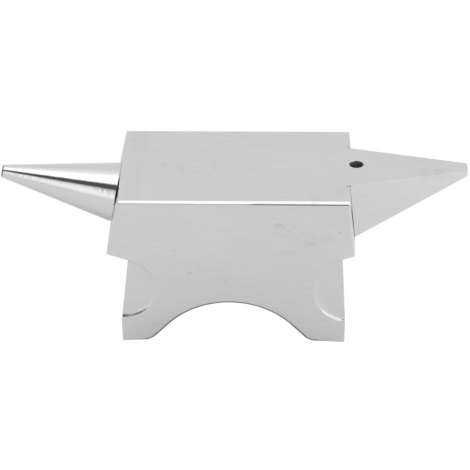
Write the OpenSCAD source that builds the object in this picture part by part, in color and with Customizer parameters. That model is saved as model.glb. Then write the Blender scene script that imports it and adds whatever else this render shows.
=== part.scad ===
// Jeweller's bench anvil with two horns. Millimetres, +Z up, feet on z = 0.
// x = 0 is half-way between the two tips and y = 0 is the middle of the depth.
// The body is one milled block with its flat horn. The round horn is turned,
// and a threaded stud inside holds it against the body's leaning end.

/* [Body] */
// Height from the feet to the working face
height = 42.5; // [40:0.5:46]
// Depth of the body from front to back
depth = 36; // [32:0.5:42]
// Length of the working face, without the horns
face_len = 58.9; // [54:0.1:64]
// Height of the face block at its ends
block_h = 15.7; // [15:0.1:17]
// Lean of the block's end under the round horn, in degrees
horn_end_lean = 12; // [8:0.5:14]
// Lean of the block's end under the flat horn, in degrees
heel_end_lean = 3.4; // [0:0.2:5]
// Fall of the ledge under the block, on the round horn's side
horn_ledge_drop = 1.85; // [1:0.05:2.5]
// Fall of the ledge under the block, on the flat horn's side
heel_ledge_drop = 1.3; // [1:0.05:2]
// Waist narrows this far in from the block's lower corner, on the round horn's side
horn_ledge_in = 5.4; // [4:0.1:6]
// Waist narrows this far in from the block's lower corner, on the flat horn's side
heel_ledge_in = 3.05; // [2:0.05:4]
// Height of the widest line of the feet
foot_h = 6.3; // [5:0.1:7]

/* [Arch] */
// Radius of the arch between the feet
arch_r = 21.7; // [20:0.1:24]
// Height of the arch's crown
arch_h = 11.8; // [10:0.1:13]
// Slope of the short straight flank below the arch, in degrees
flank_angle = 46.5; // [42:0.5:50]
// Rounding where a foot's flat begins
foot_round = 4; // [2:0.5:5]

/* [Scoops] */
// Radius of the two scoops on the round horn's side
horn_scoop_r = 8.9; // [8:0.1:9.5]
// Radius of the two scoops on the flat horn's side
heel_scoop_r = 9.8; // [9:0.1:10.5]
// Depth of the scoops
scoop_depth = 0.55; // [0.4:0.05:1.2]
// Slope of the cove round a scoop's floor where it meets the face, in degrees
scoop_slope = 43; // [40:1:60]

/* [Flat horn] */
// Length of the flat horn from the block to its tip
heel_len = 29.85; // [26:0.05:34]
// Width of the flat horn at its root
heel_root_w = 18.9; // [16:0.1:22]
// Width of the flat horn at its tip
heel_tip_w = 4.1; // [3:0.1:6]
// Thickness of the flat horn at its tip
heel_tip_h = 1.4; // [1:0.1:3]
// Diameter of the pritchel hole
pritchel_d = 3.6; // [2:0.1:5]

/* [Round horn] */
// Diameter of the round horn at its base
horn_d = 15.6; // [13:0.1:15.6]
// Diameter of the round horn at its tip
horn_tip_d = 3.2; // [2:0.1:5]
// Length of the round horn along its axis
horn_len = 30.05; // [26:0.05:34]
// Chamfer round the base of the round horn
horn_chamfer = 0.4; // [0.2:0.1:0.8]

/* [Stud] */
// Thread diameter of the stud
stud_d = 6; // [5:1:6]
// Thread pitch of the stud
stud_pitch = 1; // [0.8:0.2:1]
// Length of the stud
stud_len = 20; // [16:1:20]

/* [Hidden] */
$fn = 128;
lap = 0.5;                         // how far joined shapes run into each other
through = 1;                       // how far a cutter runs past a face
satin_steel = [0.78, 0.78, 0.78];
polished_steel = [0.88, 0.88, 0.89];
stud_steel = [0.30, 0.30, 0.31];

// Round horn: a cone that leans up, so that its top line runs level
horn_round = 0.5;                  // edge rounding of the tip
horn_gap = 0.45;                   // end face left showing above the horn
horn_r = horn_d / 2;
horn_taper = (horn_r - horn_tip_d / 2) / horn_len;
horn_round_x = horn_r - (horn_len - horn_round) * horn_taper
    - horn_round * sqrt(1 + horn_taper * horn_taper);
horn_reach = (horn_r + horn_gap) * sin(horn_end_lean)
    + (horn_len - horn_round) * cos(horn_end_lean)
    + horn_round_x * sin(horn_end_lean) + horn_round;

// Outline of the body, seen from the front
face_l = horn_reach - (horn_reach + face_len + heel_len) / 2;
face_r = face_l + face_len;
block_z = height - block_h;
block_l = face_l - block_h * tan(horn_end_lean);
block_r = face_r + block_h * tan(heel_end_lean);
waist_l = [block_l + horn_ledge_in, block_z - horn_ledge_drop];
waist_r = [block_r - heel_ledge_in, block_z - heel_ledge_drop];
foot_l = face_l - 0.15;            // widest line of the feet
foot_r = face_r - 1.15;
sole_l = face_l;                   // ends of the soles on z = 0
sole_r = face_r - 1.25;

// Arch and the straight flanks that lead out of it to the feet
arch_x = (face_l + face_r) / 2 - 1.55;
arch_z = arch_h - arch_r;
flank_x = arch_r * sin(flank_angle);
flank_z = arch_z + arch_r * cos(flank_angle);
flank_foot_x = flank_x + flank_z / tan(flank_angle);
sole_round_x = flank_foot_x + foot_round * tan(flank_angle / 2);

// Scoops at the four corners of the waist
horn_scoop = [face_l + 0.25, 16.4];
heel_scoop = [face_r + 0.35, 16.0];
scoop_cove = scoop_depth / (1 - cos(scoop_slope));

// Flat horn, seen from above: straight sides, rounded tip, small coves at the root
heel_tip_x = face_r + heel_len;
heel_round = 0.9;                  // corner rounding of the tip
heel_cove = 0.6;                   // cove radius at the root
heel_taper = (heel_root_w - heel_tip_w) / 2 / heel_len;
heel_side = atan(heel_taper);
heel_hyp = sqrt(1 + heel_taper * heel_taper);
heel_round_y = heel_tip_w / 2 + heel_round * heel_taper - heel_round * heel_hyp;
heel_cove_y = heel_root_w / 2 - heel_cove * heel_taper + heel_cove * heel_hyp;
pritchel_x = face_r + 1.4;
pritchel_y = 1.25;                 // drilled a little behind the middle
pritchel_chamfer = 0.2;

// Stud and the tapped holes that take it, along the horn's axis
stud_groove = 0.6;                 // depth of the thread
stud_chamfer = 0.7;
hex_af = 3;                        // key size of the socket
hex_depth = 3;
tap_gap = 0.05;                    // space round the thread's crests
tap_depth = stud_len / 2 + 1;
tap_mouth = 0.4;                   // countersink at the hole's mouth
drill_angle = 59;                  // half the drill's point angle

module at_horn_seat() {
    translate([face_l - (horn_r + horn_gap) * sin(horn_end_lean), 0,
               height - (horn_r + horn_gap) * cos(horn_end_lean)])
        rotate([0, horn_end_lean - 90, 0]) children();
}

// A flat outline in x and z, made as deep as asked and centred on y = 0
module slab(d) {
    rotate([90, 0, 0]) linear_extrude(height = d, center = true) children();
}

module block_and_feet() {
    slab(depth) polygon([
        [face_l, height], [face_r, height], [block_r, block_z], waist_r,
        [foot_r, foot_h], [sole_r, 0], [sole_l, 0], [foot_l, foot_h],
        waist_l, [block_l, block_z]
    ]);
}

module arch_cut() {
    translate([arch_x, 0, arch_z]) rotate([90, 0, 0])
        cylinder(h = depth + 2 * through, r = arch_r, center = true);
    slab(depth + 2 * through) translate([arch_x, 0]) polygon([
        [-flank_x, flank_z], [flank_x, flank_z], [flank_foot_x, 0], [sole_round_x, 0],
        [sole_round_x, -through], [-sole_round_x, -through], [-sole_round_x, 0],
        [-flank_foot_x, 0]
    ]);
    for (side = [-1, 1])
        slab(depth + 2 * through) difference() {
            translate([arch_x, 0]) polygon([
                [side * (flank_foot_x - lap), -lap],
                [side * (sole_round_x - foot_round * sin(flank_angle)),
                 foot_round * (1 - cos(flank_angle))],
                [side * sole_round_x, foot_round], [side * sole_round_x, -lap]
            ]);
            translate([arch_x + side * sole_round_x, foot_round]) circle(r = foot_round);
        }
}

// A round cutter with a sloping cove round its floor, sunk into the front and the back face
module scoop(place, r) {
    floor_r = r - scoop_cove * sin(scoop_slope);
    for (turn = [0, 180])
        rotate([0, 0, turn])
            translate([turn == 0 ? place[0] : -place[0], scoop_depth - depth / 2, place[1]])
                rotate([90, 0, 0]) rotate_extrude() union() {
                    square([floor_r, scoop_depth + through]);
                    intersection() {
                        translate([floor_r, scoop_cove]) circle(r = scoop_cove);
                        square([r + through, scoop_depth + through]);
                    }
                }
}

module heel_plan() {
    polygon([
        [face_r - 2, heel_root_w / 2 + 2 * heel_taper],
        [heel_tip_x - heel_round + heel_round * sin(heel_side),
         heel_round_y + heel_round * cos(heel_side)],
        [heel_tip_x, heel_round_y], [heel_tip_x, -heel_round_y],
        [heel_tip_x - heel_round + heel_round * sin(heel_side),
         -heel_round_y - heel_round * cos(heel_side)],
        [face_r - 2, -heel_root_w / 2 - 2 * heel_taper]
    ]);
    for (side = [-1, 1])
        translate([heel_tip_x - heel_round, side * heel_round_y]) circle(r = heel_round);
}

// One cove between the block's leaning end and the side of the flat horn
module heel_cove() {
    rotate([0, -heel_end_lean, 0]) translate([0, 0, -block_h - lap])
        linear_extrude(height = block_h + 2 * lap) difference() {
            polygon([
                [-lap, heel_root_w / 2 - lap], [-lap, heel_cove_y], [0, heel_cove_y],
                [heel_cove, heel_cove_y],
                [heel_cove - heel_cove * sin(heel_side),
                 heel_cove_y - heel_cove * cos(heel_side)],
                [heel_cove, heel_root_w / 2 - lap]
            ]);
            translate([heel_cove, heel_cove_y]) circle(r = heel_cove);
        }
}

module heel() {
    intersection() {
        union() {
            translate([0, 0, block_z - through])
                linear_extrude(height = block_h + through) heel_plan();
            translate([face_r, 0, height]) {
                heel_cove();
                mirror([0, 1, 0]) heel_cove();
            }
        }
        slab(heel_root_w + 8) polygon([
            [face_r - 2, height], [heel_tip_x, height], [heel_tip_x, height - heel_tip_h],
            [block_r, block_z], [face_r - 2, block_z]
        ]);
    }
}

// A blind tapped hole that runs along -Z from its mouth at the origin
module tapped_hole() {
    r = stud_d / 2 + tap_gap;
    translate([0, 0, -tap_depth]) cylinder(h = tap_depth + through, r = r);
    translate([0, 0, -tap_depth - r / tan(drill_angle)])
        cylinder(h = r / tan(drill_angle), r1 = 0, r2 = r);
    translate([0, 0, -tap_mouth]) cylinder(h = 2 * tap_mouth, r1 = r, r2 = r + 2 * tap_mouth);
}

module pritchel_hole() {
    r = pritchel_d / 2;
    translate([pritchel_x, pritchel_y, block_z - 3]) cylinder(h = block_h + 4, r = r);
    translate([pritchel_x, pritchel_y, height - pritchel_chamfer])
        cylinder(h = 2 * pritchel_chamfer, r1 = r, r2 = r + 2 * pritchel_chamfer);
}

// Body: face block, waist, feet and flat horn in one piece
module body() {
    color(satin_steel) difference() {
        union() {
            block_and_feet();
            heel();
        }
        arch_cut();
        scoop(horn_scoop, horn_scoop_r);
        scoop(heel_scoop, heel_scoop_r);
        pritchel_hole();
        at_horn_seat() tapped_hole();
    }
}

// Horn: a turned cone with a chamfered base and a rounded tip
module horn() {
    color(polished_steel) at_horn_seat() difference() {
        rotate_extrude() {
            polygon([
                [0, 0], [horn_r - horn_chamfer, 0],
                [horn_r - horn_chamfer * horn_taper, horn_chamfer],
                [horn_round_x + horn_round / sqrt(1 + horn_taper * horn_taper),
                 horn_len - horn_round
                 + horn_round * horn_taper / sqrt(1 + horn_taper * horn_taper)],
                [horn_round_x, horn_len], [0, horn_len]
            ]);
            intersection() {
                translate([horn_round_x, horn_len - horn_round]) circle(r = horn_round);
                translate([horn_round_x - horn_round / 2, horn_len - horn_round])
                    square([2 * horn_round, horn_round]);
            }
        }
        mirror([0, 0, 1]) tapped_hole();
    }
}

// Stud: a headless set screw, half in the horn and half in the body
module horn_stud() {
    crest = stud_d / 2;
    root = crest - stud_groove;
    rings = floor((stud_len - 2 * stud_chamfer) / stud_pitch);
    first = -rings * stud_pitch / 2;
    color(stud_steel) at_horn_seat() difference() {
        rotate_extrude() polygon(concat(
            [[0, -stud_len / 2], [crest - stud_chamfer, -stud_len / 2], [crest, first]],
            [for (i = [0 : rings - 1]) each [
                [crest, first + (i + 0.1) * stud_pitch],
                [root, first + (i + 0.45) * stud_pitch],
                [root, first + (i + 0.55) * stud_pitch],
                [crest, first + (i + 0.9) * stud_pitch]
            ]],
            [[crest, -first], [crest - stud_chamfer, stud_len / 2], [0, stud_len / 2]]
        ));
        translate([0, 0, stud_len / 2 - hex_depth])
            cylinder(h = hex_depth + through, r = hex_af / sqrt(3), $fn = 6);
    }
}

body();
horn();
horn_stud();
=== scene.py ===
"""Jeweller's bench anvil: the looks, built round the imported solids.

The body is cut from an extruded outline and gets rounded edges, the horn and the stud are
turned, and the steel is shaded by nodes. Metres, +X to the flat horn's tip, +Z up.
"""

import math

import bmesh
import bpy
from bpy.props import FloatProperty, FloatVectorProperty, IntProperty, PointerProperty
from mathutils import Matrix, Vector


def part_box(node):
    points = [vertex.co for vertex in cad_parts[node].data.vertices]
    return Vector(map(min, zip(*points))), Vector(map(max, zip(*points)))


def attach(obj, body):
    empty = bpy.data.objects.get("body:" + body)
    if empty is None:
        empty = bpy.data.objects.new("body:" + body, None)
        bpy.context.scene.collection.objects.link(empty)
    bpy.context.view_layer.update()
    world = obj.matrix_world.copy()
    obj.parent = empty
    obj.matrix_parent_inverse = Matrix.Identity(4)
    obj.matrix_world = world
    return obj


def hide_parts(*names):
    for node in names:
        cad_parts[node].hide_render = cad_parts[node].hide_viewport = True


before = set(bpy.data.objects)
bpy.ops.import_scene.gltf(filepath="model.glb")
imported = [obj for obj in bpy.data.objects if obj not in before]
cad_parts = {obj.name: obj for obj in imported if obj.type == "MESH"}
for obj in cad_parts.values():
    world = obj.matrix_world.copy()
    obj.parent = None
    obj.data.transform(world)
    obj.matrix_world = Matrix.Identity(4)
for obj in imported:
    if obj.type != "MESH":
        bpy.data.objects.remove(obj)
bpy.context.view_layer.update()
BODY_LOW, BODY_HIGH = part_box("body")

bl_info = {
    "name": "Bench anvil",
    "version": (1, 0, 0),
    "blender": (4, 5, 0),
    "location": "View3D > Sidebar > Anvil",
    "description": "Builds a small two-horn bench anvil round its packed solids",
    "category": "Object",
}

MM = 0.001
SATIN, WORN, DRILLED, PAINTED_SHADE = range(4)  # material slots of the body
POLISHED, SEAM_SHADE, DARK_RIM = range(3)  # material slots of the round horn

STUD_MOUTH = 0.4 * MM  # countersink where the stud enters each piece
STUD_PLAY = 0.05 * MM  # room round the stud's thread
TIP_CORNER = 0.9 * MM  # rounding of the flat horn's tip, seen from above
ROOT_COVE = 0.6 * MM  # hollow rounding where the flat horn leaves the block

# Places on the body, from the nearer end of the face: inwards or outwards, then height or depth
HORN_FOOT_OUT = 0.15 * MM
HEEL_FOOT_IN, HEEL_SOLE_IN = 1.15 * MM, 1.25 * MM
ARCH_SHIFT = 1.55 * MM  # from the middle of the face towards the round horn
HORN_SCOOP = (0.25 * MM, 16.4 * MM)
HEEL_SCOOP = (0.35 * MM, 16.0 * MM)
PRITCHEL = (1.4 * MM, 1.25 * MM)

CLOSE = 1e-6  # lengths that differ by less are the same
SHARP = math.radians(20)  # an edge that turns less than this is a step of a curve
FLANK_MARGIN = 4 * MM  # keeps the arch's edges and faces apart from those of the feet


def length(name, description, default, low=0.0, high=1.0):
    """A size in metres that the sidebar shows as a length."""
    return FloatProperty(
        name=name, description=description, default=default, min=low, max=high,
        precision=5, unit="LENGTH", subtype="DISTANCE",
    )


def angle(name, description, degrees, low=-180.0, high=180.0):
    """An angle, given in degrees and kept in radians."""
    return FloatProperty(
        name=name, description=description, default=math.radians(degrees),
        min=math.radians(low), max=math.radians(high), unit="ROTATION", subtype="ANGLE",
    )


def grey(name, description, level):
    """A neutral colour."""
    return FloatVectorProperty(
        name=name, description=description, default=(level, level, level),
        min=0.0, max=1.0, subtype="COLOR", size=3,
    )


def factor(name, description, default, high=1.0):
    return FloatProperty(name=name, description=description, default=default, min=0.0, max=high)


class AnvilBody(bpy.types.PropertyGroup):
    """Sizes of the body and the flat horn that is one with it."""

    face_len: length("Face length", "Length of the working face", 58.9 * MM)
    block_h: length("Block height", "Height of the face block at its ends", 15.7 * MM)
    horn_end_lean: angle("Horn end lean", "Lean of the end under the round horn", 12.0)
    heel_end_lean: angle("Heel end lean", "Lean of the end under the flat horn", 3.4)
    horn_ledge_drop: length("Horn ledge drop", "Fall of the ledge, round horn's side", 1.85 * MM)
    heel_ledge_drop: length("Heel ledge drop", "Fall of the ledge, flat horn's side", 1.3 * MM)
    horn_ledge_in: length("Horn ledge depth", "Depth of the ledge, round horn's side", 5.4 * MM)
    heel_ledge_in: length("Heel ledge depth", "Depth of the ledge, flat horn's side", 3.05 * MM)
    end_skew: length("End skew", "How much shorter the face is at the front", 0.65 * MM)
    corner_edge: length("Corner edge", "Rounding of the front corner by the flat horn", 0.5 * MM)
    foot_h: length("Foot height", "Height of the widest line of the feet", 6.3 * MM)
    arch_r: length("Arch radius", "Radius of the arch", 21.7 * MM)
    arch_h: length("Arch height", "Height of the arch's crown", 11.8 * MM)
    flank_angle: angle("Flank angle", "Slope of the straight flank below the arch", 46.5)
    foot_round: length("Foot round", "Rounding where a foot's flat begins", 4.0 * MM)
    horn_scoop_r: length("Horn scoop", "Radius of the scoops, round horn's side", 8.9 * MM)
    heel_scoop_r: length("Heel scoop", "Radius of the scoops, flat horn's side", 9.8 * MM)
    scoop_depth: length("Scoop depth", "Depth of the scoops", 0.55 * MM)
    scoop_slope: angle("Scoop slope", "Slope of the cove round a scoop's floor at its rim", 43.0)
    heel_root_w: length("Heel root", "Width of the flat horn at its root", 18.9 * MM)
    heel_tip_w: length("Heel tip", "Width of the flat horn at its tip", 4.1 * MM)
    heel_tip_h: length("Heel tip thickness", "Thickness of the flat horn's tip", 1.4 * MM)
    pritchel_r: length("Pritchel hole", "Radius of the pritchel hole", 1.8 * MM)
    dressed_y: length("Dressed edge depth", "Depth of the facet on the front top edge", 0.8 * MM)
    dressed_z: length("Dressed edge height", "Height of the facet on the front top edge", 0.52 * MM)
    second_z: length("Second facet", "Height of the steeper facet below it", 0.19 * MM)
    dressed_round: length("Dressed edge round", "Rounding of the facet's edges", 0.1 * MM)
    face_edge: length("Face edge", "Rounding of the face's back edge", 0.12 * MM)
    arch_edge: length("Arch edge", "Rounding of the arch's rim", 1.1 * MM)
    end_edge: length("End edge", "Rounding of the other edges of the body", 0.3 * MM)
    heel_edge: length("Heel edge", "Rounding of the flat horn's edges", 0.05 * MM)
    hole_edge: length("Hole edge", "Rounding of the pritchel hole's rims", 0.15 * MM)
    sole_edge: length("Sole edge", "Rounding of the edges that stand on the table", 0.12 * MM)
    scoop_edge: length("Scoop edge", "Rounding of the scoops' rims", 0.05 * MM)


class AnvilHorn(bpy.types.PropertyGroup):
    """Sizes of the round horn and the stud that holds it."""

    horn_r: length("Base radius", "Radius of the horn's base", 7.8 * MM)
    tip_r: length("Tip radius", "Radius of the horn's tip", 1.6 * MM)
    horn_len: length("Length", "Length along the horn's axis", 30.05 * MM)
    chamfer: length("Base chamfer", "Chamfer round the horn's base", 0.4 * MM)
    tip_round: length("Tip round", "Edge rounding of the tip", 0.5 * MM)
    gap: length("Gap", "End face left showing above the horn", 0.45 * MM)
    stud_r: length("Stud radius", "Thread radius of the stud", 3.0 * MM)
    pitch: length("Pitch", "Thread pitch of the stud", 1.0 * MM)
    stud_len: length("Stud length", "Length of the stud", 20.0 * MM)
    steps: IntProperty(
        name="Steps", description="Facets round the horn", default=160, min=16, max=256
    )


class AnvilFinish(bpy.types.PropertyGroup):
    """Colours and gloss of the steels."""

    satin: grey("Satin steel", "Colour of the body's ground steel", 0.9)
    satin_rough: factor("Satin roughness", "Roughness of the body's steel", 0.24)
    polish: grey("Polished steel", "Colour of the polished horn", 0.92)
    polish_rough: factor("Polish roughness", "Roughness of the polished horn", 0.04)
    edge_rough: factor("Edge roughness", "Roughness of the rubbed edges", 0.08)
    # dark_grey: colour of the painted shade inside the arch and in the inner corners, also of the
    # horn tip's darker rim
    drilled: grey("Drilled steel", "Colour of the walls of the holes", 0.45)
    dark_grey: grey("Dull steel", "Colour of the unpolished steel inside the arch", 0.36)
    # seam_shade_grey: colour of the painted shade in the seam round the horn's base
    seam_shade_grey: grey("Seam stain", "Colour of the stained steel in the horn's seam", 0.06)
    oxide: grey("Black oxide", "Colour of the stud", 0.045)
    brushing: factor("Brushing", "Strength of the fine grinding lines", 0.35)
    marks: factor("Marks", "Strength of the faint handling marks", 0.5)


class AnvilStudio(bpy.types.PropertyGroup):
    """Camera and light."""

    lens: FloatProperty(name="Lens", description="Focal length", default=160.07, min=20, max=400)
    elevation: angle("Elevation", "Height of the camera above the horizon", 32.5)
    azimuth: angle("Azimuth", "Turn of the camera to the right", 1.489)
    roll: angle("Roll", "Roll of the camera", -0.446)
    distance: length("Distance", "Distance from the camera to its target", 548.59 * MM, high=9.0)
    target_x: FloatProperty(name="Target X", description="Target's place along X",
                            default=0.27 * MM, precision=5, unit="LENGTH")
    target_z: length("Target height", "Height of the target", 21.46 * MM)
    dome: factor("Dome", "Brightness of the tent round the anvil", 1.0, 5.0)
    table: factor("Table", "Brightness of the table", 0.9)
    right_side_light: factor("Right side", "How much brighter the table is on the right", 1.08, 2.0)
    shadow: factor("Shadow", "Brightness of the table under the anvil", 0.5)


# ---------------------------------------------------------------- meshes


def mesh_object(name, bm):
    """A smooth-shaded object from a bmesh."""
    bmesh.ops.recalc_face_normals(bm, faces=bm.faces)
    mesh = bpy.data.meshes.new(name)
    bm.to_mesh(mesh)
    bm.free()
    mesh.polygons.foreach_set("use_smooth", [True] * len(mesh.polygons))
    obj = bpy.data.objects.new(name, mesh)
    bpy.context.scene.collection.objects.link(obj)
    return obj


def add_prism(bm, low, high):
    """A closed solid between two outlines with as many points each."""
    lows = [bm.verts.new(p) for p in low]
    highs = [bm.verts.new(p) for p in high]
    bm.faces.new(lows)
    bm.faces.new(highs[::-1])
    for i in range(len(lows)):
        j = (i + 1) % len(lows)
        bm.faces.new((lows[i], lows[j], highs[j], highs[i]))


def prism_object(name, low, high):
    bm = bmesh.new()
    add_prism(bm, low, high)
    return mesh_object(name, bm)


def add_lathe(bm, profile, steps, place):
    """A solid turned about the local Z. profile runs from axis to axis in (radius, height).

    A radius may be a function of the angle, for a thread or a hexagon."""
    rings = []
    for r, z in profile:
        if not callable(r) and r < 1e-9:
            rings.append([bm.verts.new(place @ Vector((0, 0, z)))])
            continue
        ring = []
        for i in range(steps):
            a = 2 * math.pi * i / steps
            out = r(a) if callable(r) else r
            ring.append(bm.verts.new(place @ Vector((out * math.cos(a), out * math.sin(a), z))))
        rings.append(ring)
    for a, b in zip(rings, rings[1:]):
        for i in range(steps):
            j = (i + 1) % steps
            quad = [a[i % len(a)], a[j % len(a)], b[j % len(b)], b[i % len(b)]]
            corners = list(dict.fromkeys(quad))
            if len(corners) > 2:
                bm.faces.new(corners)


def lathe_object(name, profile, steps, place):
    bm = bmesh.new()
    add_lathe(bm, profile, steps, place)
    return mesh_object(name, bm)


def arc(centre, r, start, end, steps):
    """Points on a circle arc, angles in degrees, both ends included."""
    turn = (math.radians(start + (end - start) * i / steps) for i in range(steps + 1))
    return [(centre[0] + r * math.cos(a), centre[1] + r * math.sin(a)) for a in turn]


def boolean(obj, others, operation):
    """obj joined with or cut by the others, which are used up."""
    for other in others:
        step = obj.modifiers.new("cut", "BOOLEAN")
        step.solver = "EXACT"
        step.operation = operation
        step.object = other
        bake(obj)
        mesh = other.data
        bpy.data.objects.remove(other)
        bpy.data.meshes.remove(mesh)


def bake(obj):
    """Applies the object's modifiers to its mesh."""
    bpy.context.view_layer.update()
    shaped = obj.evaluated_get(bpy.context.evaluated_depsgraph_get())
    mesh = bpy.data.meshes.new_from_object(shaped)
    old = obj.data
    obj.modifiers.clear()
    obj.data = mesh
    mesh.name = old.name
    bpy.data.meshes.remove(old)


def join_flats(obj):
    """Merges faces that lie in one plane, so that edges remain only where the surface turns."""
    bm = bmesh.new()
    bm.from_mesh(obj.data)
    bmesh.ops.remove_doubles(bm, verts=bm.verts, dist=1e-7)
    bmesh.ops.dissolve_limit(
        bm, angle_limit=math.radians(0.3), verts=bm.verts, edges=bm.edges,
        delimit={"NORMAL", "MATERIAL"},
    )
    bm.to_mesh(obj.data)
    bm.free()


def round_edges(obj, width_of, segments, material=-1):
    """Rounds each edge to the radius that width_of(edge) gives, in metres."""
    bm = bmesh.new()
    bm.from_mesh(obj.data)
    bm.normal_update()
    widths = [width_of(e) for e in bm.edges]
    most = max(widths)
    layers = bm.edges.layers.float
    layer = layers.get("bevel_weight_edge") or layers.new("bevel_weight_edge")
    for e, width in zip(bm.edges, widths):
        e[layer] = width / most
    bm.to_mesh(obj.data)
    bm.free()
    bevel = obj.modifiers.new("round", "BEVEL")
    bevel.limit_method = "WEIGHT"
    bevel.width = most
    bevel.segments = segments
    bevel.use_clamp_overlap = False
    bevel.miter_outer = "MITER_ARC"
    bevel.material = material
    bake(obj)


def flatten_shading(obj):
    """Normals follow the large faces, so flats shade flat and roundings run between them."""
    obj.data.polygons.foreach_set("use_smooth", [True] * len(obj.data.polygons))
    weighted = obj.modifiers.new("shading", "WEIGHTED_NORMAL")
    weighted.weight = 100
    weighted.keep_sharp = False


# ---------------------------------------------------------------- shader nodes


class Socket:
    """A node's output with Python's arithmetic. Each operator adds one Math node."""

    def __init__(self, nodes, link):
        self.nodes, self.link = nodes, link

    def math(self, operation, *values):
        return self.nodes.add("ShaderNodeMath", {"operation": operation}, *values)

    def __add__(self, other):
        return self.math("ADD", self, other)

    def __sub__(self, other):
        return self.math("SUBTRACT", self, other)

    def __rsub__(self, other):
        return self.math("SUBTRACT", other, self)

    def __mul__(self, other):
        return self.math("MULTIPLY", self, other)

    def __truediv__(self, other):
        return self.math("DIVIDE", self, other)

    def __abs__(self):
        return self.math("ABSOLUTE", self)

    __radd__ = __add__
    __rmul__ = __mul__

    def ramp(self, low, high, start=0.0, end=1.0):
        """Runs smoothly from start at low to end at high."""
        return self.nodes.add(
            "ShaderNodeMapRange", {"interpolation_type": "SMOOTHSTEP"},
            self, low, high, start, end,
        )


class Nodes:
    """One node tree, of a material or the world."""

    def __init__(self, owner):
        owner.use_nodes = True
        self.tree = owner.node_tree
        self.tree.nodes.clear()

    def add(self, kind, settings=None, *values, out=0, **named):
        """A node with its settings, then its sockets by order and by name."""
        node = self.tree.nodes.new(kind)
        for key, value in (settings or {}).items():
            if key == "stops":
                self.set_stops(node.color_ramp.elements, value)
            else:
                setattr(node, key, value)
        for i, value in enumerate(values):
            self.feed(node.inputs[i], value)
        for key, value in named.items():
            self.feed(node.inputs[key.replace("_", " ")], value)
        if out is None or not node.outputs:
            return node
        return Socket(self, node.outputs[out])

    def set_stops(self, elements, stops):
        """Grey stops of a colour ramp, as (place, level)."""
        while len(elements) < len(stops):
            elements.new(1.0)
        for element, (place, level) in zip(elements, stops):
            element.position = place
            element.color = (level, level, level, 1.0)

    def feed(self, socket, value):
        if isinstance(value, Socket):
            self.tree.links.new(value.link, socket)
        elif value is not None:
            socket.default_value = value

    def blend(self, amount, first, second):
        """Colour that runs from first to second."""
        node = self.add("ShaderNodeMix", {"data_type": "RGBA"}, out=None)
        self.feed(node.inputs[0], amount)
        self.feed(node.inputs[6], first)
        self.feed(node.inputs[7], second)
        return Socket(self, node.outputs[2])

    def place(self, stretch=(1.0, 1.0, 1.0)):
        """Object coordinates, stretched."""
        here = self.add("ShaderNodeTexCoord", out="Object")
        return self.add("ShaderNodeVectorMath", {"operation": "MULTIPLY"}, here, stretch)

    def axes(self, vector):
        """A vector's x, y and z."""
        node = self.add("ShaderNodeSeparateXYZ", None, vector, out=None)
        return [Socket(self, o) for o in node.outputs]

    def noise(self, stretch, detail=2.0, roughness=0.5, scale=1.0):
        """Noise with stretch waves to the metre along each axis."""
        if not isinstance(stretch, tuple):
            stretch = (stretch, stretch, stretch)
        return self.add(
            "ShaderNodeTexNoise", None, Vector=self.place(stretch), Scale=scale, Detail=detail,
            Roughness=roughness,
        )

    def mottled(self, noise, tone, dark, light, low=0.3, high=0.7):
        """A colour that wanders with the noise between two levels of a tone."""
        return self.blend(noise.ramp(low, high), colour(tone, dark), colour(tone, light))

    def bump(self, height, strength, distance):
        """A normal that follows the height."""
        return self.add("ShaderNodeBump", None, Strength=strength, Distance=distance,
                        Height=height)

    def steel(self, **sockets):
        """Ends the tree in one metal shader."""
        shader = self.add("ShaderNodeBsdfPrincipled", None, **sockets)
        self.add("ShaderNodeOutputMaterial", None, shader)


def colour(value, level=1.0):
    """A colour for a socket, made darker or lighter by level."""
    return (value[0] * level, value[1] * level, value[2] * level, 1.0)


def new_material(name):
    """An empty material and its nodes."""
    mat = bpy.data.materials.new(name)
    return mat, Nodes(mat)


# Handling marks on the front and the face: place and half length in millimetres, strength
MARKS = [
    (-15.0, -18.0, 28.0, 0.7, 0.7), (-10.9, -18.0, 21.3, 1.6, 1.0), (-8.3, -18.0, 22.6, 1.7, 1.0),
    (-5.2, -18.0, 25.8, 1.0, 0.8), (-2.0, -18.0, 19.0, 1.3, 0.8), (11.7, -18.0, 36.0, 1.6, 0.9),
    (13.5, -18.0, 27.5, 2.6, 0.9), (26.5, -18.0, 33.5, 2.2, 1.0), (19.5, -18.0, 30.5, 3.0, 0.7),
    (15.0, -18.0, 34.0, 7.0, 0.5), (23.0, -18.0, 32.0, 5.0, 0.5), (11.5, -18.0, 9.3, 1.0, 0.9),
    (-19.0, -18.0, 5.0, 2.5, 0.5), (24.0, -18.0, 7.0, 2.5, 0.4), (-26.0, -18.0, 8.5, 2.0, 0.4),
    (-17.6, 0.2, 42.5, 0.9, 1.0), (-4.6, -0.2, 42.5, 1.2, 0.7), (-11.0, 0.3, 42.5, 4.0, 0.4),
    (20.8, -16.5, 42.5, 1.2, 1.0), (52.6, -3.2, 42.5, 1.9, 0.9), (49.0, -4.0, 42.5, 1.6, 0.6),
    (33.6, 1.2, 42.5, 0.8, 1.4),
]
MARK_SQUASH = 0.45  # how much narrower than long a mark is
TOP_MM = 42.0  # height in millimetres above which a spot lies on the face
BAND_X = 25.2  # middle of the darker band across the face, towards the round horn


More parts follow.
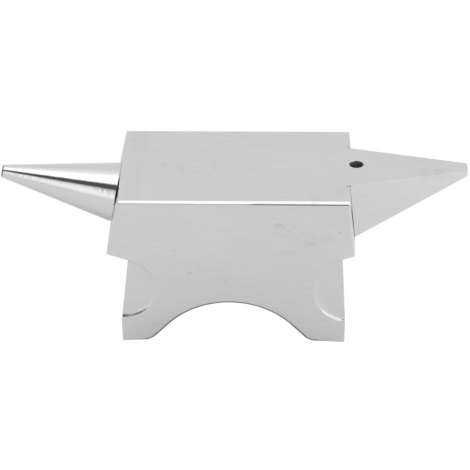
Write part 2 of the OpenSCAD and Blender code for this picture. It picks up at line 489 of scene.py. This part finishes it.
def satin_steel(finish):
    """Ground and lightly buffed steel: fine lines along the length, faint handling marks."""
    mat, n = new_material("satin_steel")
    lines = n.noise((40.0, 900.0, 900.0), 3.0, 0.6, scale=6.0)
    streaks = n.noise((130.0, 1100.0, 1100.0), 3.0, 0.6)
    clouds = n.noise(60.0, 3.0)
    grime = n.noise((700.0, 700.0, 1500.0), 3.0, 0.6)
    marks = 0.0
    for x, y, z, size, strength in MARKS:
        deep, tall = (1.0, MARK_SQUASH) if z < TOP_MM else (MARK_SQUASH, 1.0)
        away = n.add("ShaderNodeVectorMath", {"operation": "DISTANCE"},
                     n.place((1000.0, 1000.0 * deep, 1000.0 / tall)),
                     (x, y * deep, z / tall), out="Value")
        marks = away.ramp(0.3 * size, 1.2 * size, strength, 0.0) + marks
    marks = marks * grime.ramp(0.4, 0.6) * finish.marks
    x, _, z = n.axes(n.place((1000.0, 1000.0, 1000.0)))
    band = abs(x + BAND_X).ramp(0.8, 3.2, 0.03, 0.0) * z.ramp(TOP_MM, TOP_MM + 0.4)
    tone = 1.0 + (clouds - 0.5) * 0.08 + (streaks - 0.5) * finish.brushing * 0.3 - band
    shade = n.add("ShaderNodeVectorMath", {"operation": "SCALE"}, tuple(finish.satin),
                  Scale=tone * (1 - marks * 0.2))
    rough = finish.satin_rough + (lines - 0.5) * 0.06 + (clouds - 0.5) * 0.05 + marks * 0.1
    n.steel(Base_Color=shade, Metallic=1.0, Roughness=rough,
            Normal=n.bump(lines, finish.brushing * 0.1, 0.02 * MM))
    return mat


def worn_edge(finish):
    """The same steel where hands and work have rubbed the edges smooth."""
    mat, n = new_material("worn_edge")
    rub = n.noise(200.0)
    n.steel(Base_Color=colour(finish.polish), Metallic=1.0,
            Roughness=finish.edge_rough + rub * 0.04)
    return mat


def drilled_steel(finish):
    """Rough, dark walls of the drilled holes, with the drill's turning marks."""
    mat, n = new_material("drilled_steel")
    rings = n.noise((300.0, 300.0, 6000.0))
    n.steel(Base_Color=n.mottled(rings, finish.drilled, 0.6, 1.0, 0.35, 0.65), Metallic=0.7,
            Roughness=0.55, Normal=n.bump(rings, 0.4, 0.03 * MM))
    return mat


def painted_shade_steel(finish):
    """Painted shade: darker steel inside the arch and in the inner corners, where shade falls."""
    mat, n = new_material("painted_shade_steel")
    clouds = n.noise(300.0, 3.0)
    n.steel(Base_Color=n.mottled(clouds, finish.dark_grey, 0.9, 1.1), Metallic=1.0,
            Roughness=0.3 + clouds * 0.1)
    return mat


def painted_seam_shade(finish, middle):
    """Painted shade in the seam round the horn's base, darkest on its upper flanks.

    middle is the height of the horn's axis at its base."""
    mat, n = new_material("painted_seam_shade")
    _, _, z = n.axes(n.place())
    height = (z - middle) / MM
    dark = height.ramp(0.0, 2.2) * height.ramp(5.4, 7.2, 1.0, 0.0)
    n.steel(Base_Color=n.blend(dark, colour(finish.polish), colour(finish.seam_shade_grey)),
            Metallic=0.9, Roughness=dark.ramp(0.0, 0.5, 0.15, 0.35))
    return mat


def dark_tip_rim(finish):
    """The darker, rougher rim of the horn's tip."""
    mat, n = new_material("dark_tip_rim")
    clouds = n.noise(600.0)
    n.steel(Base_Color=n.mottled(clouds, finish.dark_grey, 0.5, 0.9, 0.35, 0.65), Metallic=1.0,
            Roughness=0.3)
    return mat


def polished_steel(finish):
    """Mirror-polished steel with the last faint rings of the polishing wheel."""
    mat, n = new_material("polished_steel")
    clouds = n.noise(120.0)
    rings = n.noise((1100.0, 500.0, 500.0))
    n.steel(Base_Color=n.mottled(clouds, finish.polish, 0.98, 1.0), Metallic=1.0,
            Roughness=finish.polish_rough + (clouds - 0.5) * 0.03,
            Normal=n.bump(rings, 1.0, 0.02 * MM))
    return mat


def black_oxide(finish):
    """Oxidised steel of the set screw."""
    mat, n = new_material("black_oxide")
    clouds = n.noise(900.0, 3.0)
    n.steel(Base_Color=n.mottled(clouds, finish.oxide, 1.0, 1.8), Metallic=0.6,
            Roughness=0.35 + clouds * 0.2)
    return mat


# ---------------------------------------------------------------- pieces


def body_places(sizes):
    """Corners of the body's outline in x and z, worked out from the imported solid's box."""
    top = BODY_HIGH.z
    block_z = top - sizes.block_h
    block_l = BODY_LOW.x
    face_l = block_l + sizes.block_h * math.tan(sizes.horn_end_lean)
    face_r = face_l + sizes.face_len
    block_r = face_r + sizes.block_h * math.tan(sizes.heel_end_lean)
    return {
        "top": top, "block_z": block_z, "face_l": face_l, "face_r": face_r,
        "block_l": block_l, "block_r": block_r,
        "waist_l": (block_l + sizes.horn_ledge_in, block_z - sizes.horn_ledge_drop),
        "waist_r": (block_r - sizes.heel_ledge_in, block_z - sizes.heel_ledge_drop),
        "foot_l": (face_l - HORN_FOOT_OUT, sizes.foot_h),
        "foot_r": (face_r - HEEL_FOOT_IN, sizes.foot_h),
        "sole_l": face_l, "sole_r": face_r - HEEL_SOLE_IN,
        "arch_x": (face_l + face_r) / 2 - ARCH_SHIFT,
        "horn_scoop": (face_l + HORN_SCOOP[0], HORN_SCOOP[1]),
        "heel_scoop": (face_r + HEEL_SCOOP[0], HEEL_SCOOP[1]),
        "pritchel": (face_r + PRITCHEL[0], PRITCHEL[1]),
    }


def body_outline(sizes, at):
    """The body seen from the front, without the flat horn."""
    lean = sizes.flank_angle
    lean_deg = math.degrees(lean)
    centre = (at["arch_x"], sizes.arch_h - sizes.arch_r)
    flank = Vector((sizes.arch_r * math.sin(lean), centre[1] + sizes.arch_r * math.cos(lean)))
    foot_x = flank.x + flank.y / math.tan(lean)
    round_x = foot_x + sizes.foot_round * math.tan(lean / 2)
    arch = arc(centre, sizes.arch_r, 90 + lean_deg, 90 - lean_deg, 72)
    left = arc((at["arch_x"] - round_x, sizes.foot_round), sizes.foot_round,
               -90, -90 + lean_deg, 12)
    right = [(2 * at["arch_x"] - x, z) for x, z in reversed(left)]
    return [
        (at["face_l"], at["top"]), (at["block_l"], at["block_z"]), at["waist_l"], at["foot_l"],
        (at["sole_l"], 0.0), *left, *arch, *right, (at["sole_r"], 0.0), at["foot_r"],
        at["waist_r"], (at["block_r"] + sizes.end_skew, at["block_z"]),
        (at["face_r"] + sizes.end_skew, at["top"]),
    ]


def end_x(sizes, at, y, z):
    """Where the block's end lies: it leans, and it is a little out of square."""
    lean = (sizes.block_h * math.tan(sizes.heel_end_lean) + sizes.end_skew) / sizes.block_h
    back = (BODY_HIGH.y - y) / (2 * BODY_HIGH.y)
    return at["face_r"] + (at["top"] - z) * lean - sizes.end_skew * back


def end_cutter(sizes, at):
    """Trims the block's end to its leaning, slightly skewed plane."""
    past = 3 * MM
    low, high = at["block_z"] - past, at["top"] + past
    far = at["block_r"] + 2 * past

    def outline(y):
        return [(end_x(sizes, at, y, high), y, high), (end_x(sizes, at, y, low), y, low),
                (far, y, low), (far, y, high)]

    return prism_object("end", outline(-BODY_HIGH.y - past), outline(BODY_HIGH.y + past))


def heel_outline(sizes, at, root_x, z):
    """The flat horn seen from above: coves at the root, straight sides, a rounded tip.

    z is the height at which the coves meet the leaning end of the block."""
    tip_x = BODY_HIGH.x
    rounding, cove = TIP_CORNER, ROOT_COVE
    taper = (sizes.heel_root_w - sizes.heel_tip_w) / 2 / (tip_x - at["face_r"])
    side = math.atan(taper)
    hyp = math.sqrt(1 + taper * taper)
    round_y = sizes.heel_tip_w / 2 + rounding * taper - rounding * hyp
    tip_arc = arc((tip_x - rounding, round_y), rounding, 90 - math.degrees(side), 0, 8)

    def half(way):
        """One side, from the root to the tip: way is 1 at the back and -1 at the front."""
        root = end_x(sizes, at, way * (sizes.heel_root_w / 2 + cove), z)
        cove_y = sizes.heel_root_w / 2 - (root + cove - at["face_r"]) * taper + cove * hyp
        cove_arc = arc((root + cove, cove_y), cove, 180, 270 - math.degrees(side), 8)
        return [(x, way * y) for x, y in [(root_x, cove_y), *cove_arc, *tip_arc]]

    return half(1) + half(-1)[::-1]


def make_body(sizes, horn, finish):
    """The body and its flat horn, milled from one piece."""
    at = body_places(sizes)
    half = BODY_HIGH.y
    outline = body_outline(sizes, at)
    body = prism_object("anvil_body", [(x, -half, z) for x, z in outline],
                        [(x, half, z) for x, z in outline])
    boolean(body, [end_cutter(sizes, at)], "DIFFERENCE")
    boolean(body, [heel_blank(sizes, at)], "UNION")
    boolean(body, dressing(sizes, at) + hole_cutters(sizes, at, horn), "DIFFERENCE")
    join_flats(body)
    body.data.materials.clear()
    for steel in (satin_steel, worn_edge, drilled_steel, painted_shade_steel):
        body.data.materials.append(steel(finish))
    round_edges(body, outer_edges(sizes, at), 5, material=WORN)
    paint_blank(body, sizes, at)
    boolean(body, scoop_cutters(sizes, at), "DIFFERENCE")
    join_flats(body)
    paint_cuts(body, sizes, at, horn)
    round_edges(body, cut_edges(sizes, at), 3, material=WORN)
    flatten_shading(body)
    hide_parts("body")
    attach(body, "root")
    return body


def heel_blank(sizes, at):
    """The flat horn: its root leans with the block's end, its underside slopes up to the tip."""
    inner = at["face_r"] - 2 * MM
    low = at["block_z"] - 4 * MM
    heel = prism_object(
        "heel",
        [(x, y, low) for x, y in heel_outline(sizes, at, inner, low)],
        [(x, y, at["top"]) for x, y in heel_outline(sizes, at, inner, at["top"])],
    )
    root = (at["block_r"], at["block_z"])
    tip = (BODY_HIGH.x, at["top"] - sizes.heel_tip_h)
    slope = (tip[1] - root[1]) / (tip[0] - root[0])
    past = 5 * MM
    under = [
        (inner - MM, low - past), (inner - MM, root[1]), root,
        (tip[0] + past, tip[1] + past * slope), (tip[0] + past, low - past),
    ]
    wide = sizes.heel_root_w
    boolean(heel, [prism_object("under", [(x, -wide, z) for x, z in under],
                                [(x, wide, z) for x, z in under])], "DIFFERENCE")
    return heel


def dressing(sizes, at):
    """Cutters for the facets that a file left along the front top edge."""
    half, top = BODY_HIGH.y, at["top"]
    left, right = at["face_l"] - 2 * MM, at["face_r"] + 2 * MM
    start, full = -2 * MM, 6 * MM  # where the second facet begins and where it is full
    fall = 0.04 * MM  # half of what the first facet drops from left to right
    tilt = math.atan2(sizes.dressed_z, sizes.dressed_y)
    steep = math.radians(50)

    def wedge(y, z, slope):
        """Everything in front of and above a line through (y, z) that falls to the front."""
        run = 3 * MM
        rise = run * math.tan(slope)
        return [(y + run, z + rise), (y - run, z - rise), (y - 2 * run, z - rise),
                (y - 2 * run, z + 2 * rise), (y + run, z + 2 * rise)]

    def cutter(name, x0, z0, x1, z1, slope):
        return prism_object(name, [(x0, y, z) for y, z in wedge(-half, z0, slope)],
                            [(x1, y, z) for y, z in wedge(-half, z1, slope)])

    first = top - sizes.dressed_z
    low = first - sizes.second_z
    return [
        cutter("facet", left, first + fall, right, first - fall, tilt),
        cutter("second", start, first + 0.05 * MM, full, low, steep),
        cutter("second", full - CLOSE, low, right, low - fall / 2, steep),
    ]


def scoop_cutters(sizes, at):
    """Four shallow round scoops at the corners of the waist."""
    cutters = []
    d, slope = sizes.scoop_depth, sizes.scoop_slope
    cove = d / (1 - math.cos(slope))
    for key, r in (("horn_scoop", sizes.horn_scoop_r), ("heel_scoop", sizes.heel_scoop_r)):
        x, z = at[key]
        floor_r = r - cove * math.sin(slope)
        rim = arc((floor_r, cove - d), cove, -90, math.degrees(slope) - 90, 16)
        profile = [(0.0, -d), *rim, (r + MM / math.tan(slope), MM), (0.0, MM)]
        for side in (-1, 1):
            place = Matrix.Translation((x, side * BODY_HIGH.y, z)) @ Matrix.Rotation(
                -side * math.pi / 2, 4, "X")
            cutters.append(lathe_object("scoop", profile, 192, place))
    return cutters


def hole_cutters(sizes, at, horn):
    """The pritchel hole and the blind hole for the stud."""
    r, low, high = sizes.pritchel_r, at["block_z"] - 3 * MM, at["top"] + MM
    return [
        lathe_object("hole", [(0.0, low), (r, low), (r, high), (0.0, high)], 64,
                     Matrix.Translation((*at["pritchel"], 0.0))),
        lathe_object("hole", [*stud_hole(horn), (0.0, STUD_MOUTH)], 64,
                     horn_place(sizes, horn)),
    ]


def under_arch(at, p):
    """Whether a point lies between the feet, seen from the front."""
    reach = (at["sole_r"] - at["sole_l"]) / 2 - FLANK_MARGIN
    return abs(p.x - at["arch_x"]) < reach


def paint_blank(body, sizes, at):
    """Slots of the blank's faces: painted shade on the arch's rim and in the hollow corners at the
    flat horn's root, satin on the flat horn's edges."""
    half = BODY_HIGH.y
    for face in body.data.polygons:
        p, normal = face.center, face.normal
        in_arch = CLOSE < p.z < sizes.arch_h + 1.5 * MM and under_arch(at, p)
        # painted shade: the arch's rim, where it faces down, gets the darker steel
        if in_arch and normal.z < -0.2:
            face.material_index = PAINTED_SHADE
        if p.x > at["face_r"] + 0.05 * MM and abs(p.y) < half - MM:
            face.material_index = SATIN
        from_end = abs(p.x - end_x(sizes, at, p.y, p.z))
        from_side = abs(p.y) - sizes.heel_root_w / 2
        slanted = abs(normal.z) < 0.3 and 0.3 < abs(normal.x) < 0.99
        # painted shade: the hollow corners at the flat horn's root get the darker steel
        if from_end < ROOT_COVE + 0.05 * MM and 0 < from_side < ROOT_COVE + 0.1 * MM and slanted:
            face.material_index = PAINTED_SHADE


def paint_cuts(body, sizes, at, horn):
    """Slots of the cut faces: the drilled holes are dark, and on the flat horn's side the
    cutter left the scoops' coves bright."""
    hole_x, hole_y = at["pritchel"]
    scoop_x, scoop_z = at["heel_scoop"]
    seat = horn_place(sizes, horn).inverted()
    floor_y = BODY_HIGH.y - sizes.scoop_depth
    for face in body.data.polygons:
        p = face.center
        stud = seat @ p
        in_hole = math.hypot(p.x - hole_x, p.y - hole_y) < sizes.pritchel_r + 0.01 * MM
        in_stud = math.hypot(stud.x, stud.y) < horn.stud_r + STUD_MOUTH and stud.z < -CLOSE
        if in_hole or in_stud:
            face.material_index = DRILLED
        away = math.hypot(p.x - scoop_x, p.z - scoop_z)
        in_cove = floor_y < abs(p.y) < BODY_HIGH.y - CLOSE and abs(face.normal.y) < 0.999
        if away < sizes.heel_scoop_r and in_cove:
            face.material_index = WORN


def outer_edges(sizes, at):
    """Rounding of the blank's edges, before the scoops are cut."""
    half = BODY_HIGH.y
    hole_x, hole_y = at["pritchel"]

    def width(edge):
        if edge.calc_face_angle(0.0) < SHARP or not edge.is_convex:
            return 0.0
        a, b = (v.co for v in edge.verts)
        mid = (a + b) / 2
        if math.hypot(mid.x - hole_x, mid.y - hole_y) < sizes.pritchel_r + 0.1 * MM:
            return sizes.hole_edge
        stud_mouth = (b - a).length < MM and abs(mid.y) < 5 * MM and mid.x < at["face_l"]
        if stud_mouth:
            return 0.0
        on_side = abs(abs(a.y) - half) < CLOSE and abs(abs(b.y) - half) < CLOSE
        if abs(b.x - a.x) > 5 * MM and abs(mid.y) > half - MM and mid.z > at["top"] - MM:
            return sizes.face_edge if mid.y > 0 else sizes.dressed_round
        if on_side and CLOSE < mid.z < sizes.arch_h + 0.1 * MM and under_arch(at, mid):
            return sizes.arch_edge
        if mid.z < CLOSE:
            return sizes.sole_edge
        upright = abs(b.z - a.z) > 5 * MM and mid.z > at["block_z"]
        if upright and mid.x > 0 and mid.y < 0.1 * MM - half:
            return sizes.corner_edge
        if (mid.x > at["face_r"] - 0.1 * MM and abs(mid.y) < half - 0.1 * MM
                and mid.z > at["block_z"] - 0.1 * MM):
            return sizes.heel_edge
        return sizes.end_edge

    return width


def cut_edges(sizes, at):
    """Rounding of the rims that the scoops leave."""
    half = BODY_HIGH.y
    floor_y = half - sizes.scoop_depth
    scoops = ((at["horn_scoop"], sizes.horn_scoop_r), (at["heel_scoop"], sizes.heel_scoop_r))

    def width(edge):
        if edge.calc_face_angle(0.0) < SHARP or not edge.is_convex:
            return 0.0
        a, b = (v.co for v in edge.verts)
        mid = (a + b) / 2
        for (x, z), r in scoops:
            away = [math.hypot(p.x - x, p.z - z) for p in (a, b)]
            from_waist = min(abs(p.x - at[side][0]) for p in (a, b)
                             for side in ("waist_l", "waist_r"))
            on_rim = max(abs(d - r) for d in away) < 0.05 * MM
            if on_rim and abs(abs(mid.y) - half) < CLOSE and from_waist > 2.6 * MM:
                return sizes.scoop_edge
            if max(away) < r - 0.2 * MM and abs(abs(mid.y) - floor_y) < 0.6 * MM:
                return sizes.scoop_edge
        return 0.0

    return width


def horn_place(sizes, horn):
    """The seat on the leaning end: origin at the horn's base, Z out along its axis."""
    lean = sizes.horn_end_lean
    face_l = BODY_LOW.x + sizes.block_h * math.tan(lean)
    down = horn.horn_r + horn.gap
    origin = (face_l - down * math.sin(lean), 0.0, BODY_HIGH.z - down * math.cos(lean))
    return Matrix.Translation(origin) @ Matrix.Rotation(lean - math.pi / 2, 4, "Y")


def stud_hole(horn):
    """Half outline of the blind hole into the body: drill point, wall and countersink."""
    r = horn.stud_r + STUD_PLAY
    depth = horn.stud_len / 2 + MM
    drill_point = math.radians(59)
    return [
        (0.0, -depth - r / math.tan(drill_point)), (r, -depth), (r, -STUD_MOUTH),
        (r + 2 * STUD_MOUTH, STUD_MOUTH),
    ]


def make_horn(sizes, horn, finish):
    """The round horn, hollow where the stud goes in."""
    taper = (horn.horn_r - horn.tip_r) / horn.horn_len
    hyp = math.sqrt(1 + taper * taper)
    e = horn.tip_round
    round_r = horn.horn_r - (horn.horn_len - e) * taper - e * hyp
    c = horn.chamfer
    hole = [(r, -z) for r, z in stud_hole(horn)[:-1]]
    mouth_r = horn.stud_r + STUD_PLAY + STUD_MOUTH
    tip = arc((round_r, horn.horn_len - e), e, math.degrees(math.atan(taper)), 90, 10)
    profile = [
        *hole, (mouth_r, 0.0), (horn.horn_r - c, 0.0), (horn.horn_r - c * taper, c), *tip,
        (0.0, horn.horn_len),
    ]
    obj = lathe_object("round_horn", profile, horn.steps, horn_place(sizes, horn))
    seat = horn_place(sizes, horn).inverted()

    def width(edge):
        ends = [seat @ v.co for v in edge.verts]
        rim = all(p.z < c + CLOSE and math.hypot(p.x, p.y) > horn.horn_r - 2 * c for p in ends)
        level = abs(ends[0].z - ends[1].z) < 1e-7
        return 0.06 * MM if rim and level else 0.0

    round_edges(obj, width, 3)
    flatten_shading(obj)
    for mat in (polished_steel(finish), painted_seam_shade(finish, seat.inverted().translation.z),
                dark_tip_rim(finish)):
        obj.data.materials.append(mat)
    for face in obj.data.polygons:
        spot = seat @ face.center
        along = abs((seat.to_3x3() @ face.normal).z)
        # painted shade: the base chamfer, in the seam against the body, gets the dark seam steel
        if spot.z < c * 0.9 and math.hypot(spot.x, spot.y) > mouth_r:
            face.material_index = SEAM_SHADE
        elif spot.z > horn.horn_len - e and 0.35 < along < 0.97:
            face.material_index = DARK_RIM
        else:
            face.material_index = POLISHED
    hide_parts("horn")
    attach(obj, "root")
    return obj


def make_stud(sizes, horn, finish):
    """Headless set screw: a real helical thread, chamfered ends and a hexagon socket."""
    steps, rows = 96, 16
    crest, pitch = horn.stud_r, horn.pitch
    deep, chamfer, half = 0.6 * MM, 0.7 * MM, horn.stud_len / 2
    socket_half, socket_deep = 1.5 * MM, 3 * MM
    crest_flat, flank_wide = 0.06, 0.38  # parts of the pitch

    def thread(z):
        end = crest - chamfer + (half - abs(z))

        def radius(a):
            part = (z / pitch - a / (2 * math.pi)) % 1.0
            flank = min(abs(part - 0.5) - crest_flat, flank_wide) / flank_wide
            return min(crest - deep * (1 - max(flank, 0.0)), end)

        return radius

    def hexagon(a):
        return socket_half / math.cos((a % (math.pi / 3)) - math.pi / 6)

    count = round(horn.stud_len / pitch * rows)
    levels = [-half + horn.stud_len * i / count for i in range(count + 1)]
    profile = [
        (0.0, -half), *[(thread(z), z) for z in levels],
        (hexagon, half), (hexagon, half - socket_deep), (0.0, half - socket_deep),
    ]
    stud = lathe_object("set_screw", profile, steps, horn_place(sizes, horn))
    flatten_shading(stud)
    stud.data.materials.append(black_oxide(finish))
    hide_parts("horn_stud")
    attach(stud, "root")
    return stud


# ---------------------------------------------------------------- stage


BACKDROP = 1.02  # brightness of the white behind and under the anvil


def make_floor(studio):
    """A pale table, lit from below so that it shows no shadow, yet carrying a painted shadow under
    the anvil and painted light on its right, which the steel mirrors.

    It lies a hair above the soles, so that it shares no plane with them, and it is clear
    from below, so that they can be seen."""
    bm = bmesh.new()
    reach, hair = 3.0, 0.01 * MM
    bm.faces.new([bm.verts.new((x * reach, y * reach, hair))
                  for x, y in ((-1, -1), (1, -1), (1, 1), (-1, 1))])
    floor = mesh_object("table", bm)
    if floor.data.polygons[0].normal.z < 0:
        floor.data.flip_normals()
    mat, n = new_material("pale_table")
    seen = n.add("ShaderNodeLightPath", out="Is Camera Ray")
    glow = n.add("ShaderNodeEmission", None, Color=(1, 1, 1, 1), Strength=BACKDROP)
    x, y, _ = n.axes(n.place())
    half_x, half_y = -BODY_LOW.x, BODY_HIGH.y
    # the anvil's own shade on the table, which its steel mirrors
    under = (abs(x).ramp(0.8 * half_x, 1.1 * half_x, 1.0, 0.0)
             * abs(y).ramp(0.85 * half_y, half_y, 1.0, 0.0))
    # painted light: the table is brighter on the right, and the steel mirrors it
    right = x.ramp(0.03, 0.09, 1.0, studio.right_side_light)
    lit = n.add("ShaderNodeVectorMath", {"operation": "SCALE"}, (studio.table,) * 3, Scale=right)
    shade = n.blend(under, lit, colour([studio.shadow] * 3))
    card = n.add("ShaderNodeBsdfPrincipled", None, Base_Color=shade, Roughness=1.0,
                 Specular_IOR_Level=0.0)
    from_above = n.add("ShaderNodeMixShader", None, seen, card, glow)
    below = n.add("ShaderNodeNewGeometry", out="Backfacing")
    n.add("ShaderNodeOutputMaterial", None, n.add(
        "ShaderNodeMixShader", None, below, from_above, n.add("ShaderNodeBsdfTransparent")))
    floor.data.materials.append(mat)


# Brightness of the tent by the angle from the zenith, towards the front, in degrees:
# back wall, the wide lamp overhead, the dark slit above the camera, front wall
TENT = [
    (-90, 0.88), (-60, 0.83), (-45, 0.83), (-34, 0.89), (-22, 1.02), (-13, 1.14), (-6, 1.4),
    (24, 1.4), (30, 0.7), (34, 0.09), (43, 0.07), (48, 0.35), (52, 0.72), (57, 1.0),
    (62, 1.15), (76, 1.2), (82, 1.08), (89, 0.88),
]

# Patches on the front wall: turn to the right, height and half sizes in degrees, brightness
PATCHES = [
    (-1.25, 27.0, 15.25, 21.0, 0.1),   # opening for the camera
    (-49.0, 30.0, 25.5, 20.0, 0.15),   # dark room past the left wall
    (-20.0, 50.0, 14.0, 9.0, 0.1),     # beam between the two
    (56.5, 45.0, 23.5, 13.0, 1.7),     # lamp on the right
    (68.0, 20.0, 12.0, 12.0, 1.5),     # its lower end
    (-100.0, 15.0, 22.0, 24.0, 0.1),   # doorway on the left
]


def make_tent(studio):
    """The white tent round the table, as the world's light."""
    world = bpy.data.worlds.new("tent")
    bpy.context.scene.world = world
    n = Nodes(world)
    x, y, z = n.axes(n.add("ShaderNodeTexCoord", out="Generated"))
    front = y * -1.0
    degrees = 180.0 / math.pi
    tilt = front.math("ARCTAN2", front, z) * (0.5 / math.pi) + 0.5
    peak = max(level for _, level in TENT)
    wall = n.add("ShaderNodeValToRGB",
                 {"stops": [(d / 360 + 0.5, level / peak) for d, level in TENT]}, tilt)
    light = n.add("ShaderNodeRGBToBW", None, wall) * peak
    turn = x.math("ARCTAN2", x, front) * degrees
    height = z.math("ARCSINE", z) * degrees
    edge = 3.0  # half width of a patch's soft edge, in degrees
    for centre, middle, half_w, half_h, level in PATCHES:
        patch = (abs(turn - centre).ramp(half_w - edge, half_w + edge, 1.0, 0.0)
                 * abs(height - middle).ramp(half_h - edge, half_h + edge, 1.0, 0.0))
        light = light * (1 - patch) + patch * level
    seen = n.add("ShaderNodeLightPath", out="Is Camera Ray")
    n.add("ShaderNodeOutputWorld", None, n.add(
        "ShaderNodeMixShader", None, seen,
        n.add("ShaderNodeBackground", None, Strength=light * studio.dome),
        n.add("ShaderNodeBackground", None, Color=(1, 1, 1, 1), Strength=BACKDROP),
    ))


def make_camera(studio):
    """The camera, placed by its turn, height and distance from its target."""
    data = bpy.data.cameras.new("camera")
    camera = bpy.data.objects.new("camera", data)
    bpy.context.scene.collection.objects.link(camera)
    data.sensor_width = 36.0
    data.lens = studio.lens
    data.clip_start, data.clip_end = 0.01, 20.0
    e, a, roll = studio.elevation, studio.azimuth, studio.roll
    back = Vector((math.sin(a) * math.cos(e), -math.cos(a) * math.cos(e), math.sin(e)))
    right = Vector((math.cos(a), math.sin(a), 0.0))
    up = back.cross(right)
    x = right * math.cos(roll) + up * math.sin(roll)
    y = up * math.cos(roll) - right * math.sin(roll)
    camera.matrix_world = Matrix.Translation(
        Vector((studio.target_x, 0.0, studio.target_z)) + back * studio.distance
    ) @ Matrix((x, y, back)).transposed().to_4x4()
    bpy.context.scene.camera = camera


# ---------------------------------------------------------------- operators and panel


class ANVIL_OT_body(bpy.types.Operator):
    """Builds the body with its flat horn"""

    bl_idname = "anvil.body"
    bl_label = "Body"

    def execute(self, context):
        s = context.scene
        make_body(s.anvil_body, s.anvil_horn, s.anvil_finish)
        return {"FINISHED"}


class ANVIL_OT_horn(bpy.types.Operator):
    """Turns the round horn"""

    bl_idname = "anvil.horn"
    bl_label = "Round horn"

    def execute(self, context):
        s = context.scene
        make_horn(s.anvil_body, s.anvil_horn, s.anvil_finish)
        return {"FINISHED"}


class ANVIL_OT_stud(bpy.types.Operator):
    """Makes the stud inside the round horn"""

    bl_idname = "anvil.stud"
    bl_label = "Stud"

    def execute(self, context):
        s = context.scene
        make_stud(s.anvil_body, s.anvil_horn, s.anvil_finish)
        return {"FINISHED"}


class ANVIL_OT_stage(bpy.types.Operator):
    """Sets the table, the tent and the camera"""

    bl_idname = "anvil.stage"
    bl_label = "Stage"

    def execute(self, context):
        studio = context.scene.anvil_studio
        make_floor(studio)
        make_tent(studio)
        make_camera(studio)
        context.scene.view_settings.view_transform = "Standard"
        return {"FINISHED"}


OPERATORS = (ANVIL_OT_body, ANVIL_OT_horn, ANVIL_OT_stud, ANVIL_OT_stage)
GROUPS = {
    "anvil_body": AnvilBody, "anvil_horn": AnvilHorn,
    "anvil_finish": AnvilFinish, "anvil_studio": AnvilStudio,
}


class VIEW3D_PT_anvil(bpy.types.Panel):
    """Lists the anvil's sizes and the steps that build it"""

    bl_label = "Bench anvil"
    bl_space_type = "VIEW_3D"
    bl_region_type = "UI"
    bl_category = "Anvil"

    def draw(self, context):
        for operator in OPERATORS:
            self.layout.operator(operator.bl_idname)
        for key, group in GROUPS.items():
            box = self.layout.box()
            values = getattr(context.scene, key)
            for field in group.__annotations__:
                box.prop(values, field)


def register():
    for cls in (*GROUPS.values(), *OPERATORS, VIEW3D_PT_anvil):
        bpy.utils.register_class(cls)
    for key, group in GROUPS.items():
        setattr(bpy.types.Scene, key, PointerProperty(type=group))


def unregister():
    for key in GROUPS:
        delattr(bpy.types.Scene, key)
    for cls in reversed((*GROUPS.values(), *OPERATORS, VIEW3D_PT_anvil)):
        bpy.utils.unregister_class(cls)


def main():
    register()
    bpy.ops.anvil.body()
    bpy.ops.anvil.horn()
    bpy.ops.anvil.stud()
    bpy.ops.anvil.stage()


if __name__ == "__main__":
    main()
